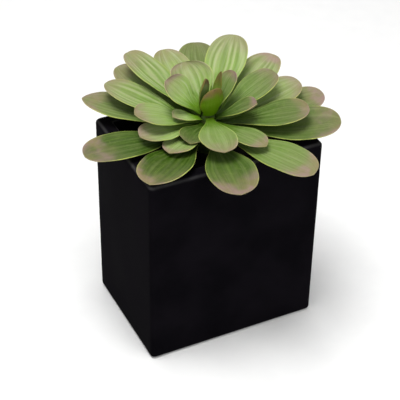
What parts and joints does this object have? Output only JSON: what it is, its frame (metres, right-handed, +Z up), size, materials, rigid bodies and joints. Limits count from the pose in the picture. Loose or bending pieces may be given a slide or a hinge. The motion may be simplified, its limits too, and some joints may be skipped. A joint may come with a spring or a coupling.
{
  "type": "potted succulent",
  "caption": "Flat rosette succulent with broad spoon-shaped leaves, on a short stem in a tall rectangular pot with straight walls.",
  "frame": {"origin": "centre of the pot's underside, where it stands on a surface", "axes": "+Z up along the stem; +X along the pot's wide faces; +Y from the pot's front face to its back face"},
  "size_m": [0.1758, 0.1647, 0.1911],
  "materials": {
    "pot_ceramic": "satin",
    "potting_mix": "matte",
    "stem_skin": "matte",
    "leaf_skin": "satin",
    "bud_leaf_skin": "satin"
  },
  "bodies": {
    "root": {"pot": "pot_ceramic", "soil": "potting_mix", "stem": "stem_skin", "bud_leaf_1": "bud_leaf_skin", "bud_leaf_2": "bud_leaf_skin", "bud_leaf_3": "bud_leaf_skin", "inner_leaf_1": "leaf_skin", "inner_leaf_2": "leaf_skin", "inner_leaf_3": "leaf_skin", "inner_leaf_4": "leaf_skin", "inner_leaf_5": "leaf_skin", "inner_leaf_6": "leaf_skin", "middle_leaf_1": "leaf_skin", "middle_leaf_2": "leaf_skin", "middle_leaf_3": "leaf_skin", "middle_leaf_4": "leaf_skin", "middle_leaf_5": "leaf_skin", "middle_leaf_6": "leaf_skin", "middle_leaf_7": "leaf_skin", "middle_leaf_8": "leaf_skin", "middle_leaf_9": "leaf_skin", "middle_leaf_10": "leaf_skin", "middle_leaf_11": "leaf_skin", "middle_leaf_12": "leaf_skin", "outer_leaf_1": "leaf_skin", "outer_leaf_2": "leaf_skin", "outer_leaf_3": "leaf_skin", "outer_leaf_4": "leaf_skin", "outer_leaf_5": "leaf_skin", "outer_leaf_6": "leaf_skin", "outer_leaf_7": "leaf_skin", "outer_leaf_8": "leaf_skin", "outer_leaf_9": "leaf_skin", "outer_leaf_10": "leaf_skin", "outer_leaf_11": "leaf_skin", "outer_leaf_12": "leaf_skin", "outer_leaf_13": "leaf_skin"}
  },
  "joints": []
}
